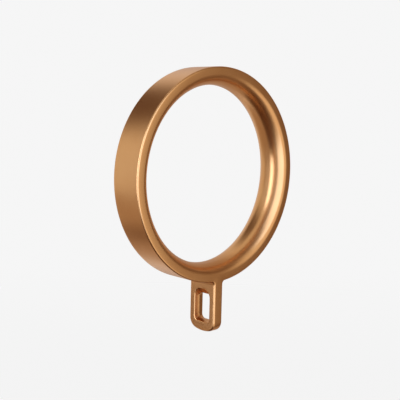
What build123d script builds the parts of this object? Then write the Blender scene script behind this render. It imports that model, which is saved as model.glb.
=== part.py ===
from build123d import *
import os
from math import sqrt

# Curtain ring with an eye tab, cast in one piece, in millimetres.
# The pole runs along Y through the origin and +Z is up. The tab hangs at the foot of the ring,
# flush with both rims, and its hook slot runs along X.

# Ring
clear_diameter = 40.1  # narrowest inside, where the ring rides on the pole
throat_land = 0.8  # straight length of that narrowest inside, along the pole
crown_height = 1.85  # how far the rounded inside stands in from the rims
rim_width = 2.1  # flat front and back rims, from the rounded inside out to the band
band_width = 8.0  # along the pole
edge_radius = 0.6  # outer edges of the ring and of the tab

# Eye tab
tab_thickness = 2.65
neck_wall = 2.0  # metal between the band and the mouth of the slot
side_wall = 1.85  # metal on each side of the slot
foot_wall = 2.45  # metal below the slot
neck_radius = 0.8  # hollow corners where the tab leaves the band
foot_corner_radius = 2.4
foot_radius = 9.0

# Hook slot, cast from both sides: each mouth is arched and narrows to a throat in the middle of the tab
slot_height = 6.1
slot_corner_radius = 1.0
mouth_rise = 1.45  # how far the arch of a mouth stands above the throat
arch_flat = 0.3  # short flat at the crown of the arch
lip_chamfer = 0.3

# Places that follow from those sizes
throat_radius = clear_diameter / 2
rim_radius = throat_radius + crown_height
outer_radius = rim_radius + rim_width
half_band = band_width / 2
half_land = throat_land / 2
half_tab = tab_thickness / 2
crown_lead = (half_land + half_band) / 2  # where the end slopes of a crown meet, along the pole
tab_root = -(rim_radius + rim_width / 2)
slot_width = band_width - 2 * side_wall
mouth_top = -(outer_radius + neck_wall)
slot_top = mouth_top - mouth_rise
slot_bottom = slot_top - slot_height
arch_radius = (slot_width - arch_flat) / 2
foot_bottom = slot_bottom - foot_wall

# The foot is a wide arc between two corner arcs, which leave the straight sides at this height
arc_gap = foot_radius - foot_corner_radius
corner_offset = half_band - foot_corner_radius
corner_height = foot_bottom + foot_radius - sqrt(arc_gap**2 - corner_offset**2)
foot_center = Vector(0, foot_bottom + foot_radius)
corner_center = Vector(corner_offset, corner_height)
corner_end = foot_center + (corner_center - foot_center).normalized() * foot_radius

os.makedirs("parts", exist_ok=True)

with BuildPart() as curtain_ring:
    # Ring: flat band outside, flat rims, rounded inside with a short land
    with BuildSketch(Plane.XY) as ring_section:
        with BuildLine() as ring_profile:
            front_crown = Bezier(
                (throat_radius, -half_land),
                (throat_radius, -crown_lead),
                (rim_radius, -half_band),
            )
            Polyline(
                front_crown @ 1,
                (outer_radius, -half_band),
                (outer_radius, half_band),
                (rim_radius, half_band),
            )
            back_crown = Bezier(
                (throat_radius, half_land),
                (throat_radius, crown_lead),
                (rim_radius, half_band),
            )
            Line(front_crown @ 0, back_crown @ 0)
        make_face()
    revolve(axis=Axis.Y)

    # Eye tab: straight sides and a rounded foot
    with BuildSketch(Plane.YZ) as tab_section:
        with BuildLine() as tab_profile:
            Line((0, tab_root), (half_band, tab_root))
            Line((half_band, tab_root), (half_band, corner_height))
            corner = TangentArc((half_band, corner_height), corner_end, tangent=(0, -1))
            TangentArc(corner @ 1, (0, foot_bottom), tangent=corner % 1)
            mirror(about=Plane.YZ)
        make_face()
    extrude(amount=half_tab, both=True)

    # Hollow corners of the neck
    neck_edges = curtain_ring.edges().filter_by(Axis.Y).group_by(Axis.Z)[0]
    fillet(neck_edges, radius=neck_radius)

    # One rounded edge round the band, through the neck and round the foot of the tab
    outline = ShapeList()
    for rim in curtain_ring.faces().filter_by(Axis.Y):
        outline += rim.outer_wire().edges().filter_by(Axis.X, reverse=True)
    for cheek in curtain_ring.faces().filter_by(Axis.X):
        outline += cheek.outer_wire().edges().filter_by(GeomType.CIRCLE)
    fillet(outline, radius=edge_radius)

    # Hook slot: from the throat in the middle of the tab to an arched mouth on each side
    for side in (-1, 1):
        with BuildSketch(Plane.YZ) as throat:
            with Locations((0, (slot_top + slot_bottom) / 2)):
                Rectangle(slot_width, slot_height)
            fillet(throat.vertices(), radius=slot_corner_radius)
        with BuildSketch(Plane.YZ.offset(side * half_tab)) as mouth:
            with Locations((0, (mouth_top + slot_bottom) / 2)):
                Rectangle(slot_width, mouth_top - slot_bottom)
            fillet(mouth.vertices().group_by(Axis.Y)[-1], radius=arch_radius)
            fillet(mouth.vertices().group_by(Axis.Y)[0], radius=slot_corner_radius)
        loft(sections=[throat.sketch, mouth.sketch], ruled=True, mode=Mode.SUBTRACT)

    # Broken lips of the two mouths
    lip_edges = ShapeList()
    for cheek in curtain_ring.faces().filter_by(Axis.X):
        lip_edges += cheek.inner_wires()[0].edges()
    chamfer(lip_edges, length=lip_chamfer)

curtain_ring.part.label = "curtain_ring"
export_step(curtain_ring.part, "parts/curtain_ring.step")
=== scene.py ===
from math import asin, atan2, cos, pi, radians, sin, sqrt

import bmesh
import bpy
import numpy as np
from bpy.props import FloatProperty, FloatVectorProperty, PointerProperty
from bpy.types import Operator, Panel, PropertyGroup
from mathutils import Matrix, Vector


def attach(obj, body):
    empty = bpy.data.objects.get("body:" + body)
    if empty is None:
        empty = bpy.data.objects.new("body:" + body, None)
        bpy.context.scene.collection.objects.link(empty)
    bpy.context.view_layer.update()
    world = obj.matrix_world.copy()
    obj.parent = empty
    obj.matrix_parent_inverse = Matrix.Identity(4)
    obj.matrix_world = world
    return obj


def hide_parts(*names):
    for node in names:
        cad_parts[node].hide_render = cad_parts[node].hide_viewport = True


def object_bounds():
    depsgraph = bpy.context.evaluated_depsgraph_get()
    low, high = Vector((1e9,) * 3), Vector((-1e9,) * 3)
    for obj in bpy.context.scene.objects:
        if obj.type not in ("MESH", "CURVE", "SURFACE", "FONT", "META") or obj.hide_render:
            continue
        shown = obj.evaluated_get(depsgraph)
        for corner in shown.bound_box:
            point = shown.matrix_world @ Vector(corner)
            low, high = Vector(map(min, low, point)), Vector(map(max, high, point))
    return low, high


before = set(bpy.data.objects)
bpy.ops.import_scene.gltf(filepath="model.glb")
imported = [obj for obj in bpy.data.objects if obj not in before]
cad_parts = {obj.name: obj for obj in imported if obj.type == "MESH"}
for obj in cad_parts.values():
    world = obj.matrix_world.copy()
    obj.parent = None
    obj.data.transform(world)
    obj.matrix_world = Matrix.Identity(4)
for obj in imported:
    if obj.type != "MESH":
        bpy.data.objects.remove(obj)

bl_info = {
    "name": "Curtain ring",
    "version": (1, 0, 0),
    "blender": (4, 5, 0),
    "location": "View3D > Sidebar > Curtain ring",
    "description": "A satin curtain ring with an eye tab, cast in one piece, and its studio",
    "category": "Add Mesh",
}

RING_NODE = "curtain_ring"
CAD_LOW, CAD_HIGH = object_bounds()

# Grid steps of the ring's skin
HALF_RING_STEPS = 220
ROUND_STEPS = 10
CROWN_STEPS = 16
NECK_STEPS = 14
LINE_STEPS = 4
FOOT_STEPS = 10
ARCH_STEPS = 8
ROOF_STEPS = 2
WALL_STEPS = 10
# How softly the slot's ramp starts from its throat
RAMP_EASE = 0.12
# How far the tab's sides run on below the neck, as a share of the neck's radius
NECK_RUN = 0.25
# Points nearer than this are one point, in metres
WELD = 1e-8

# Patches and grain of the metal: scale of each noise, and the stretch of it that is used
PATCH_SCALE = 110.0
PATCH_LOW, PATCH_HIGH = 0.35, 0.65
GRAIN_SCALE = 5200.0
GRAIN_LOW, GRAIN_HIGH = 0.3, 0.7
# Height and strength of the grain's relief, in metres and as a share
RELIEF_HEIGHT = 0.00002
RELIEF_STRENGTH = 0.02
# Clear lacquer over the metal
COAT_WEIGHT = 0.4
COAT_ROUGHNESS = 0.25

# Grid steps and distances of the studio, in metres
CARD_STEPS = 24
FLOOR_RADIUS = 3.0
FLOOR_STEPS = 48
CLIP_START = 0.01
# Shares of the floor's radius: where it starts, and the outer part that fades out
FLOOR_START = 0.01
FLOOR_FADE = 0.5


class CurtainRingSizes(PropertyGroup):
    """Sizes of the ring, its eye tab and its hook slot."""

    outer_radius: FloatProperty(
        name="Outside radius", description="Flat outer band", default=-CAD_LOW.x, unit="LENGTH"
    )
    throat_radius: FloatProperty(
        name="Inside radius", description="Narrowest inside", default=0.02005, unit="LENGTH"
    )
    throat_land: FloatProperty(
        name="Land", description="Straight length of the narrowest inside", default=0.0008, unit="LENGTH"
    )
    rim_width: FloatProperty(
        name="Rim",
        description="Flat rims, before their edges are rounded",
        default=0.0021,
        unit="LENGTH",
    )
    band_width: FloatProperty(
        name="Band", description="Width along the pole", default=CAD_HIGH.y - CAD_LOW.y, unit="LENGTH"
    )
    edge_radius: FloatProperty(
        name="Outer edges", description="Rounding of the outer edges", default=0.0004, unit="LENGTH"
    )
    rim_edge_radius: FloatProperty(
        name="Inner edges",
        description="Rounding of the rims' inner edges",
        default=0.0014,
        unit="LENGTH",
    )
    tab_thickness: FloatProperty(
        name="Tab", description="Thickness of the eye tab", default=0.00265, unit="LENGTH"
    )
    neck_radius: FloatProperty(
        name="Neck", description="Hollow corners between band and tab", default=0.0008, unit="LENGTH"
    )
    foot_depth: FloatProperty(
        name="Foot",
        description="From the ring's centre down to the foot",
        default=-CAD_LOW.z,
        unit="LENGTH",
    )
    foot_radius: FloatProperty(
        name="Foot arc", description="Wide arc under the tab", default=0.009, unit="LENGTH"
    )
    foot_corner_radius: FloatProperty(
        name="Foot corners", description="Corner arcs of the foot", default=0.0024, unit="LENGTH"
    )
    foot_wall: FloatProperty(
        name="Foot wall", description="Metal under the slot", default=0.00245, unit="LENGTH"
    )
    side_wall: FloatProperty(
        name="Side walls", description="Metal beside the slot", default=0.00185, unit="LENGTH"
    )
    slot_height: FloatProperty(
        name="Slot height", description="Height of the slot's throat", default=0.0061, unit="LENGTH"
    )
    slot_corner_radius: FloatProperty(
        name="Slot corners", description="Corners of the slot", default=0.001, unit="LENGTH"
    )
    mouth_rise: FloatProperty(
        name="Mouth rise",
        description="From the throat up to a mouth's arch",
        default=0.00145,
        unit="LENGTH",
    )
    arch_flat: FloatProperty(
        name="Arch flat", description="Short flat at the top of the arch", default=0.0003, unit="LENGTH"
    )
    lip_radius: FloatProperty(
        name="Lips", description="Rounding of the slot's mouths", default=0.0002, unit="LENGTH"
    )
    mouth_flare: FloatProperty(
        name="Mouth flare",
        description="How far a mouth is wider on each side",
        default=0.00025,
        unit="LENGTH",
    )


class CurtainRingFinish(PropertyGroup):
    """Colours and grain of the satin metal."""

    metal_color: FloatVectorProperty(
        name="Metal", description="Plated metal", default=(0.61, 0.3, 0.1), subtype="COLOR", size=3
    )
    deep_color: FloatVectorProperty(
        name="Deep tone",
        description="Redder patches",
        default=(0.58, 0.27, 0.085),
        subtype="COLOR",
        size=3,
    )
    edge_color: FloatVectorProperty(
        name="Edge tone",
        description="Tint at a low angle",
        default=(1.0, 0.85, 0.7),
        subtype="COLOR",
        size=3,
    )
    satin_low: FloatProperty(
        name="Least roughness",
        description="Where the grain is smoothest",
        default=0.277,
        subtype="FACTOR",
    )
    satin_high: FloatProperty(
        name="Most roughness", description="Where the grain is coarsest", default=0.29, subtype="FACTOR"
    )


class CurtainRingStudio(PropertyGroup):
    """Floor, surround, cards and camera."""

    surround_color: FloatVectorProperty(
        name="Surround",
        description="White surround",
        default=(0.92, 0.92, 0.92),
        subtype="COLOR",
        size=3,
    )
    floor_color: FloatVectorProperty(
        name="Floor", description="Pale floor", default=(0.98, 0.98, 0.98), subtype="COLOR", size=3
    )
    floor_drop: FloatProperty(
        name="Floor drop", description="Air under the hanging ring", default=0.6, unit="LENGTH"
    )
    box_color: FloatVectorProperty(
        name="Key box",
        description="Glow of the key box",
        default=(2.2, 2.8, 4.3),
        subtype="COLOR",
        size=3,
    )
    side_color: FloatVectorProperty(
        name="Left box",
        description="Glow of the left box",
        default=(3.6, 4.4, 6.3),
        subtype="COLOR",
        size=3,
    )
    fill_color: FloatVectorProperty(
        name="Fill card",
        description="Glow of the fill card",
        default=(1.2, 1.2, 1.25),
        subtype="COLOR",
        size=3,
    )
    dim_color: FloatVectorProperty(
        name="Dim flags",
        description="Tone of the half-dark flags",
        default=(0.54, 0.44, 0.37),
        subtype="COLOR",
        size=3,
    )
    flag_color: FloatVectorProperty(
        name="Dark flags",
        description="Tone of the dark flags",
        default=(0.24, 0.16, 0.12),
        subtype="COLOR",
        size=3,
    )
    black_color: FloatVectorProperty(
        name="Black flags",
        description="Tone of the black flags",
        default=(0.1, 0.04, 0.02),
        subtype="COLOR",
        size=3,
    )
    azimuth: FloatProperty(
        name="Azimuth",
        description="Camera's turn round the ring",
        default=radians(-44.05),
        subtype="ANGLE",
    )
    elevation: FloatProperty(
        name="Elevation", description="Camera's height", default=radians(7.28), subtype="ANGLE"
    )
    roll: FloatProperty(name="Roll", description="Camera's tilt", default=radians(1.34), subtype="ANGLE")
    distance: FloatProperty(
        name="Distance", description="From the camera to its target", default=0.1692, unit="LENGTH"
    )
    target: FloatVectorProperty(
        name="Target",
        description="What the camera looks at",
        default=(-0.00269, 0, -0.00557),
        subtype="XYZ",
    )
    lens: FloatProperty(name="Lens", description="Focal length in millimetres", default=68.0)


def quads_of(rows, columns, first):
    """Quads between neighbouring points of a grid of rows by columns points."""
    index = first + np.arange(rows * columns).reshape(rows, columns)
    corners = (index[:-1, :-1], index[1:, :-1], index[1:, 1:], index[:-1, 1:])
    return np.stack([corner.ravel() for corner in corners], axis=1)


def closed_mesh(name, patches):
    """One closed mesh from grids of points that meet along shared rows, with its faces turned outwards."""
    counts = [patch.shape[0] * patch.shape[1] for patch in patches]
    firsts = np.cumsum([0, *counts[:-1]])
    points = np.concatenate([patch.reshape(-1, 3) for patch in patches])
    quads = np.concatenate([quads_of(*patch.shape[:2], first) for patch, first in zip(patches, firsts)])
    cells = np.rint(points / WELD).astype(np.int64)
    _, kept, merged = np.unique(cells, axis=0, return_index=True, return_inverse=True)
    mesh = bpy.data.meshes.new(name)
    mesh.from_pydata(points[kept].tolist(), [], merged.reshape(-1)[quads].tolist())
    shell = bmesh.new()
    shell.from_mesh(mesh)
    bmesh.ops.recalc_face_normals(shell, faces=shell.faces)
    open_edges = sum(not edge.is_manifold for edge in shell.edges)
    shell.to_mesh(mesh)
    shell.free()
    if open_edges:
        raise RuntimeError(f"{name} has {open_edges} open edges")
    mesh.shade_smooth()
    return mesh


def mirrored(patch):
    """The same grid on the other side of the ring's middle, with x turned to -x."""
    return patch * np.array((-1.0, 1.0, 1.0))


def with_y(grid_xz, y):
    """Points of a grid in X and Z, with their Y put between the two."""
    return np.insert(grid_xz, 1, np.broadcast_to(y, grid_xz.shape[:-1]), axis=-1)


def rounded_edge(radius):
    """A quarter circle between two walls, as its distance back from the first and along from the second."""
    turn = np.linspace(0, pi / 2, ROUND_STEPS + 1)
    return radius * (np.sin(turn) - 1), radius * (1 - np.cos(turn))


def half_outline(size):
    """The front outline from the top of the ring down to the tab, on the side of +X.

    A circle about the origin, then a hollow arc that touches it and the tab's side, then that side.
    Gives the points, the outward directions, the turns of the matching points inside the ring,
    and the tab's top.
    """
    half_tab = size.tab_thickness / 2
    reach = size.outer_radius + size.neck_radius
    neck_x = half_tab + size.neck_radius
    neck_z = -sqrt(reach**2 - neck_x**2)
    neck_turn = asin(neck_x / reach)
    tab_top = neck_z - size.neck_radius * NECK_RUN
    ring_turn = np.linspace(pi, neck_turn, HALF_RING_STEPS + 1)
    hollow_turn = np.linspace(neck_turn, pi / 2, NECK_STEPS + 1)[1:]
    turn = np.concatenate((ring_turn, hollow_turn, [pi / 2]))
    outward = np.stack((np.sin(turn), -np.cos(turn)), axis=1)
    ring = size.outer_radius * outward[: len(ring_turn)]
    hollow = (neck_x, neck_z) - size.neck_radius * outward[len(ring_turn) : -1]
    points = np.concatenate((ring, hollow, [(half_tab, tab_top)]))
    inner_turn = np.concatenate((ring_turn, np.linspace(neck_turn, 0, NECK_STEPS + 1)[1:]))
    return points, outward, inner_turn, tab_top


def inside_profile(size):
    """The rounded inside as radius and place along Y, from the front rim to the back rim.

    A crown arc leaves the land straight, and a small arc turns it into the flat rim.
    """
    half_band, half_land = size.band_width / 2, size.throat_land / 2
    run = half_band - half_land
    rise = size.outer_radius - size.rim_width - size.throat_radius
    crown = (run**2 + rise**2) / (2 * rise)
    crown_r = size.throat_radius + crown
    edge = size.rim_edge_radius
    edge_y = edge - half_band
    edge_r = crown_r - sqrt((crown - edge) ** 2 - (edge_y + half_land) ** 2)
    meet = atan2(-half_land - edge_y, crown_r - edge_r)
    edge_turn = np.linspace(pi / 2, meet, ROUND_STEPS + 1)
    crown_turn = np.linspace(meet, 0, CROWN_STEPS + 1)[1:]
    radius = np.concatenate((edge_r - edge * np.cos(edge_turn), crown_r - crown * np.cos(crown_turn)))
    along = np.concatenate((edge_y - edge * np.sin(edge_turn), -half_land - crown * np.sin(crown_turn)))
    return np.concatenate((radius, radius[::-1])), np.concatenate((along, -along[::-1]))


def foot_path(size, tab_top):
    """The tab's outline in side view, down its front side, round the foot and up its back side.

    Straight sides, corner arcs, and one wide foot arc that touches both corner arcs.
    """
    half_band = size.band_width / 2
    gap = size.foot_radius - size.foot_corner_radius
    offset = half_band - size.foot_corner_radius
    foot_z = size.foot_radius - size.foot_depth
    corner_z = foot_z - sqrt(gap**2 - offset**2)
    meet = atan2(foot_z - corner_z, offset)
    corner_turn = np.linspace(0, meet, ROUND_STEPS + 1)[1:]
    foot_turn = np.linspace(meet, pi / 2, FOOT_STEPS + 1)[1:]
    turn = np.concatenate((np.zeros(LINE_STEPS + 1), corner_turn, foot_turn))
    outward = -np.stack((np.cos(turn), np.sin(turn)), axis=1)
    side_z = np.linspace(tab_top, corner_z, LINE_STEPS + 1)
    side = np.stack((np.full(LINE_STEPS + 1, -half_band), side_z), axis=1)
    corner = (-offset, corner_z) + size.foot_corner_radius * outward[LINE_STEPS + 1 : -FOOT_STEPS]
    foot = (0, foot_z) + size.foot_radius * outward[-FOOT_STEPS:]
    front = np.concatenate((side, corner, foot))
    back = np.array((-1.0, 1.0))
    return np.concatenate((front, front[-2::-1] * back)), np.concatenate((outward, outward[-2::-1] * back))


def slot_outline(half_width, top, bottom, top_radius, bottom_radius):
    """A rounded rectangle in side view, from its front top corner round the bottom and back over the top.

    Gives the points and the outward directions. Outlines of other sizes keep the order of the points.
    """
    corner = np.linspace(0, pi / 2, ROUND_STEPS + 1)
    arch = np.linspace(0, pi / 2, ARCH_STEPS + 1)
    low_y, low_z = half_width - bottom_radius, bottom + bottom_radius
    high_y, high_z = half_width - top_radius, top - top_radius
    side_z = np.linspace(high_z, low_z, LINE_STEPS + 1)
    base_y = np.linspace(-low_y, low_y, 2 * FOOT_STEPS + 1)[:-1]
    roof_y = np.linspace(high_y, -high_y, ROOF_STEPS + 1)[:-1]
    turns = (
        np.full(LINE_STEPS, pi),
        pi + corner[:-1],
        np.full(2 * FOOT_STEPS, 1.5 * pi),
        1.5 * pi + corner[:-1],
        np.zeros(LINE_STEPS),
        arch[:-1],
        np.full(ROOF_STEPS, pi / 2),
        pi / 2 + arch,
    )
    outward = [np.stack((np.cos(turn), np.sin(turn)), axis=1) for turn in turns]
    points = (
        np.stack((np.full(LINE_STEPS, -half_width), side_z[:-1]), axis=1),
        (-low_y, low_z) + bottom_radius * outward[1],
        np.stack((base_y, np.full(2 * FOOT_STEPS, bottom)), axis=1),
        (low_y, low_z) + bottom_radius * outward[3],
        np.stack((np.full(LINE_STEPS, half_width), side_z[:0:-1]), axis=1),
        (high_y, high_z) + top_radius * outward[5],
        np.stack((roof_y, np.full(ROOF_STEPS, top)), axis=1),
        (-high_y, high_z) + top_radius * outward[7],
    )
    return np.concatenate(points), np.concatenate(outward)


def slot_wall(size):
    """The slot from its throat in the middle of the tab to the rounded lip of the mouth on the side of +X.

    Each row is the throat's outline moved towards the wider mouth's by a ramp, which starts level.
    The lip is an arc from the ramp's slope to the flat of the tab.
    """
    half_tab = size.tab_thickness / 2
    half_width = size.band_width / 2 - size.side_wall
    bottom = size.foot_wall - size.foot_depth
    top = bottom + size.slot_height
    corner = size.slot_corner_radius
    arch = half_width - size.arch_flat / 2
    throat, outward = slot_outline(half_width, top, bottom, corner, corner)
    flare = size.mouth_flare
    mouth, _ = slot_outline(half_width + flare, top + size.mouth_rise, bottom - flare, arch, corner)
    rise = ((mouth - throat) * outward).sum(axis=1)
    climb = sqrt(1 + RAMP_EASE**2) - RAMP_EASE
    slope = np.arctan2(rise / climb, half_tab)
    lip = size.lip_radius
    wall_end = half_tab - lip * (1 - np.sin(slope))
    depth = np.linspace(0, 1, WALL_STEPS + 1)[:, None] * wall_end
    ramp = (np.sqrt((depth / half_tab) ** 2 + RAMP_EASE**2) - RAMP_EASE) / climb
    wall = throat + ramp[:, :, None] * (mouth - throat)
    turn = slope + np.linspace(0, 1, ROUND_STEPS + 1)[1:, None] * (pi / 2 - slope)
    lip_x = wall_end + lip * (np.sin(turn) - np.sin(slope))
    lip_out = lip * (np.cos(slope) - np.cos(turn))
    lip_yz = wall[-1] + lip_out[:, :, None] * outward
    across = np.concatenate((depth, lip_x))
    return np.concatenate((across[:, :, None], np.concatenate((wall, lip_yz))), axis=2)


def ring_patches(size):
    """Every surface of the ring and its tab, as grids of points that meet along shared rows.

    The outer wall is the front outline carried along Y, with rounded edges. The inside is turned about Y.
    The rims are ruled from the inside to the outline. The tab's edge strip is carried round its foot.
    The cheeks are ruled from that strip to the lips of the slot.
    """
    half_band, half_tab = size.band_width / 2, size.tab_thickness / 2
    edge = size.edge_radius
    outline, outward, inner_turn, tab_top = half_outline(size)
    inset, along = rounded_edge(edge)
    band_y = np.linspace(edge - half_band, half_band - edge, 2 * ARCH_STEPS + ROOF_STEPS + 1)
    wall_y = np.concatenate((along[:-1] - half_band, band_y, half_band - along[-2::-1]))
    wall_inset = np.concatenate((inset[:-1], np.zeros(len(band_y)), inset[-2::-1]))
    wall = with_y(outline[:, None, :] + outward[:, None, :] * wall_inset[:, None], wall_y)

    radius, inside_y = inside_profile(size)
    inner_way = np.stack((np.sin(inner_turn), -np.cos(inner_turn)), axis=1)
    inside = with_y(inner_way[:, None, :] * radius[:, None], inside_y)

    rim_in = np.concatenate((inner_way * radius[0], [(0, tab_top)]))
    rim_xz = np.stack((rim_in, outline - edge * outward), axis=1)
    front_rim, back_rim = with_y(rim_xz, -half_band), with_y(rim_xz, half_band)

    path, path_out = foot_path(size, tab_top)
    strip_x = np.concatenate((-(half_tab + inset)[::-1], [0], half_tab + inset))
    strip_inset = np.concatenate((-along[::-1], [0], -along))
    strip_yz = path[:, None, :] + path_out[:, None, :] * strip_inset[:, None]
    strip = np.insert(strip_yz, 0, np.broadcast_to(strip_x, strip_yz.shape[:2]), axis=2)

    slot = slot_wall(size)
    top_edge = np.stack((band_y[-2::-1], np.full(len(band_y) - 1, tab_top)), axis=1)
    cheek_yz = np.concatenate((path - edge * path_out, top_edge))
    cheek = np.stack((np.insert(cheek_yz, 0, half_tab, axis=1), slot[-1]))
    halves = (wall, inside, front_rim, back_rim, cheek, slot)
    return [strip, *halves, *(mirrored(patch) for patch in halves)]


def node_material(name):
    """An empty node material, with one function that adds a node and one that links two sockets."""
    material = bpy.data.materials.new(name)
    material.use_nodes = True
    tree = material.node_tree
    tree.nodes.clear()

    def add(kind, **values):
        node = tree.nodes.new(kind)
        for socket, value in values.items():
            node.inputs[socket.replace("_", " ")].default_value = value
        return node

    return material, add, tree.links.new


def satin_metal(finish):
    """Satin plated metal, with soft patches of a redder tone and a fine grain in roughness and relief."""
    material, add, link = node_material("satin_metal")
    place = add("ShaderNodeTexCoord").outputs["Object"]
    patches = add("ShaderNodeTexNoise", Scale=PATCH_SCALE, Detail=2.0, Roughness=0.5)
    grain = add("ShaderNodeTexNoise", Scale=GRAIN_SCALE, Detail=3.0, Roughness=0.6)
    link(place, patches.inputs["Vector"])
    link(place, grain.inputs["Vector"])

    tone = add("ShaderNodeValToRGB")
    tone.color_ramp.elements[0].position = PATCH_LOW
    tone.color_ramp.elements[0].color = (*finish.deep_color, 1)
    tone.color_ramp.elements[1].position = PATCH_HIGH
    tone.color_ramp.elements[1].color = (*finish.metal_color, 1)
    link(patches.outputs["Fac"], tone.inputs["Fac"])

    satin = add("ShaderNodeMapRange", From_Min=GRAIN_LOW, From_Max=GRAIN_HIGH)
    satin.inputs["To Min"].default_value = finish.satin_low
    satin.inputs["To Max"].default_value = finish.satin_high
    link(grain.outputs["Fac"], satin.inputs["Value"])

    relief = add("ShaderNodeBump", Strength=RELIEF_STRENGTH, Distance=RELIEF_HEIGHT)
    link(grain.outputs["Fac"], relief.inputs["Height"])

    metal = add("ShaderNodeBsdfPrincipled", Metallic=1.0)
    metal.inputs["Coat Weight"].default_value = COAT_WEIGHT
    metal.inputs["Coat Roughness"].default_value = COAT_ROUGHNESS
    metal.inputs["Specular Tint"].default_value = (*finish.edge_color, 1)
    link(tone.outputs["Color"], metal.inputs["Base Color"])
    link(satin.outputs["Result"], metal.inputs["Roughness"])
    link(relief.outputs["Normal"], metal.inputs["Normal"])
    link(metal.outputs["BSDF"], add("ShaderNodeOutputMaterial").inputs["Surface"])
    return material


def fading(add, link, surface):
    """Shows a surface as far as the mesh's fade attribute says."""
    fade = add("ShaderNodeAttribute")
    fade.attribute_name = "fade"
    mix = add("ShaderNodeMixShader")
    link(fade.outputs["Fac"], mix.inputs["Fac"])
    link(add("ShaderNodeBsdfTransparent").outputs["BSDF"], mix.inputs[1])
    link(surface, mix.inputs[2])
    link(mix.outputs["Shader"], add("ShaderNodeOutputMaterial").inputs["Surface"])


def pale_floor(studio):
    """Matt pale floor that fades out into the surround."""
    material, add, link = node_material("pale_floor")
    matt = add("ShaderNodeBsdfDiffuse", Color=(*studio.floor_color, 1))
    fading(add, link, matt.outputs["BSDF"])
    return material


def card_glow(name, color):
    """Even glow of a soft box, or the dim tone of a flag, with soft edges."""
    material, add, link = node_material(name)
    fading(add, link, add("ShaderNodeEmission", Color=(*color, 1)).outputs["Emission"])
    return material


def stage_sheet(name, grid, fade, material):
    """A sheet of the stage from a grid of points, with how much of it shows at each point."""
    mesh = bpy.data.meshes.new(name)
    mesh.from_pydata(grid.reshape(-1, 3).tolist(), [], quads_of(*grid.shape[:2], 0).tolist())
    mesh.attributes.new("fade", "FLOAT", "POINT").data.foreach_set("value", fade.astype(np.float32).ravel())
    mesh.materials.append(material)
    sheet = bpy.data.objects.new(name, mesh)
    bpy.context.scene.collection.objects.link(sheet)
    return sheet


def soft_step(share):
    """Smooth step from 0 to 1."""
    share = np.clip(share, 0, 1)
    return share * share * (3 - 2 * share)


def studio_card(name, color, azimuth, elevation, width, height, distance, softness):
    """A soft-edged card on a sphere about the ring, which shows only in the metal.

    Angles are in degrees. Azimuth runs from +X towards +Y. Softness is the faded share of each half.
    """
    across, up = np.meshgrid(np.linspace(-1, 1, CARD_STEPS + 1), np.linspace(-1, 1, CARD_STEPS + 1))
    turn, rise = np.radians(across * width / 2), np.radians(up * height / 2)
    way = np.stack((np.cos(rise) * np.cos(turn), np.cos(rise) * np.sin(turn), np.sin(rise)), axis=2)
    aim = Matrix.Rotation(radians(azimuth), 3, "Z") @ Matrix.Rotation(-radians(elevation), 3, "Y")
    fade = soft_step((1 - np.abs(across)) / softness) * soft_step((1 - np.abs(up)) / softness)
    card = stage_sheet(name, distance * way @ np.array(aim).T, fade, card_glow(name, color))
    card.visible_camera = False
    card.visible_diffuse = False
    card.visible_shadow = False


class CURTAINRING_OT_ring(Operator):
    """Build the ring with its eye tab as one smooth skin"""

    bl_idname = "curtain_ring.ring"
    bl_label = "Curtain ring"

    def execute(self, context):
        scene = context.scene
        mesh = closed_mesh("ring_skin", ring_patches(scene.curtain_ring_sizes))
        mesh.materials.append(satin_metal(scene.curtain_ring_finish))
        skin = bpy.data.objects.new("ring_skin", mesh)
        scene.collection.objects.link(skin)
        normals = skin.modifiers.new("flat_faces_first", "WEIGHTED_NORMAL")
        normals.mode = "FACE_AREA"
        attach(skin, "root")
        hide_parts(RING_NODE)
        return {"FINISHED"}


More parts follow.
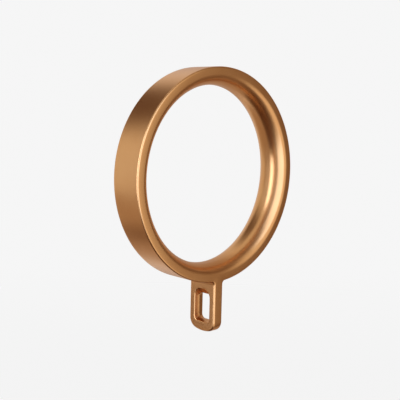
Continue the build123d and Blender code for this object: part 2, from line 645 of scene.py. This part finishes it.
class CURTAINRING_OT_studio(Operator):
    """Set the floor, the surround, the cards and the camera"""

    bl_idname = "curtain_ring.studio"
    bl_label = "Studio"

    def execute(self, context):
        studio = context.scene.curtain_ring_studio
        self.floor(studio)
        self.surround(context.scene, studio)
        self.cards(studio)
        self.camera(context.scene, studio)
        return {"FINISHED"}

    def floor(self, studio):
        """A disc below the ring, as turn and distance, which fades out towards its edge."""
        shares = np.linspace(FLOOR_START, 1, FLOOR_STEPS + 1)
        share, turn = np.meshgrid(shares, np.linspace(0, 2 * pi, FLOOR_STEPS + 1))
        reach = share * FLOOR_RADIUS
        height = np.full_like(share, CAD_LOW.z - studio.floor_drop)
        grid = np.stack((reach * np.cos(turn), reach * np.sin(turn), height), axis=2)
        stage_sheet("floor", grid, soft_step((1 - share) / FLOOR_FADE), pale_floor(studio))

    def surround(self, scene, studio):
        """An even white surround."""
        world = bpy.data.worlds.new("surround")
        world.use_nodes = True
        background = world.node_tree.nodes["Background"]
        background.inputs["Color"].default_value = (*studio.surround_color, 1)
        scene.world = world

    def cards(self, studio):
        """Soft boxes towards the camera and to its left, a fill card, and dark flags.

        Each has its azimuth, elevation, width, height, distance and softness.
        The cheek, wall and core flags are painted shade: small dark sheets near the metal, so that only the
        walls beside them see them, as shade in their reflections. The core flag sits inside the ring's hole
        and darkens the ring's reflections of itself.
        """
        box, side, fill = studio.box_color, studio.side_color, studio.fill_color
        dim, flag, black = studio.dim_color, studio.flag_color, studio.black_color
        studio_card("key_box", box, 229, 16, 62, 104, 0.50, 0.17)
        studio_card("left_box", side, 165, 8, 38, 58, 0.48, 0.15)
        studio_card("fill_card", fill, 277, -15, 58, 120, 0.52, 0.3)
        studio_card("right_flag", flag, 329, -5, 44, 150, 0.46, 0.25)
        studio_card("split_flag", black, 197, 26, 16, 124, 0.41, 0.3)
        studio_card("gap_flag", black, 142, 4, 13, 70, 0.41, 0.4)
        # Painted shade: a dark sheet near the tab, seen only in the reflection of its cheek.
        studio_card("cheek_painted_shade", flag, 134, -42, 34, 24, 0.068, 0.9)
        # Painted shade: a dark sheet near the ring, seen only in the reflections of the walls beside it.
        studio_card("wall_painted_shade", flag, 112, -4, 20, 76, 0.05, 0.9)
        # Painted shade: a black sheet inside the ring's hole, which darkens the ring's reflections of its
        # own inside.
        studio_card("core_painted_shade", black, 0, 20, 28, 26, 0.0137, 0.3)
        studio_card("high_flag", black, 102, 39, 58, 44, 0.44, 0.7)
        studio_card("low_flag", black, 178, -60, 66, 62, 0.40, 0.3)
        studio_card("side_flag", dim, 116, -36, 72, 52, 0.42, 0.4)
        studio_card("under_flag", black, 190, -82, 76, 66, 0.39, 0.3)
        studio_card("top_flag", flag, 290, 78, 100, 40, 0.43, 0.6)
        studio_card("back_flag", dim, 10, -5, 110, 150, 0.54, 0.4)
        studio_card("tail_flag", dim, 50, -20, 36, 34, 0.45, 0.9)

    def camera(self, scene, studio):
        """The camera, from its turn, height, tilt and distance about its target."""
        turn, rise, tilt = studio.azimuth, studio.elevation, studio.roll
        back = Vector((sin(turn) * cos(rise), -cos(turn) * cos(rise), sin(rise)))
        right = Vector((0, 0, 1)).cross(back).normalized()
        up = back.cross(right)
        frame_right = cos(tilt) * right + sin(tilt) * up
        frame_up = cos(tilt) * up - sin(tilt) * right
        lens = bpy.data.cameras.new("camera")
        lens.lens = studio.lens
        lens.clip_start = CLIP_START
        camera = bpy.data.objects.new("camera", lens)
        place = Vector(studio.target) + studio.distance * back
        axes = Matrix((frame_right, frame_up, back)).transposed()
        camera.matrix_world = Matrix.Translation(place) @ axes.to_4x4()
        scene.collection.objects.link(camera)
        scene.camera = camera
        scene.view_settings.view_transform = "Standard"


class CURTAINRING_PT_panel(Panel):
    """Sizes, finish and studio of the curtain ring"""

    bl_idname = "CURTAINRING_PT_panel"
    bl_label = "Curtain ring"
    bl_space_type = "VIEW_3D"
    bl_region_type = "UI"
    bl_category = "Curtain ring"

    def draw(self, context):
        scene = context.scene
        for group in (scene.curtain_ring_sizes, scene.curtain_ring_finish, scene.curtain_ring_studio):
            box = self.layout.box()
            for name in group.__annotations__:
                box.prop(group, name)
        self.layout.operator(CURTAINRING_OT_ring.bl_idname)
        self.layout.operator(CURTAINRING_OT_studio.bl_idname)


CLASSES = (
    CurtainRingSizes,
    CurtainRingFinish,
    CurtainRingStudio,
    CURTAINRING_OT_ring,
    CURTAINRING_OT_studio,
    CURTAINRING_PT_panel,
)


def register():
    for each in CLASSES:
        bpy.utils.register_class(each)
    bpy.types.Scene.curtain_ring_sizes = PointerProperty(type=CurtainRingSizes)
    bpy.types.Scene.curtain_ring_finish = PointerProperty(type=CurtainRingFinish)
    bpy.types.Scene.curtain_ring_studio = PointerProperty(type=CurtainRingStudio)


def unregister():
    del bpy.types.Scene.curtain_ring_studio
    del bpy.types.Scene.curtain_ring_finish
    del bpy.types.Scene.curtain_ring_sizes
    for each in reversed(CLASSES):
        bpy.utils.unregister_class(each)


def main():
    register()
    bpy.ops.curtain_ring.ring()
    bpy.ops.curtain_ring.studio()


if __name__ == "__main__":
    main()
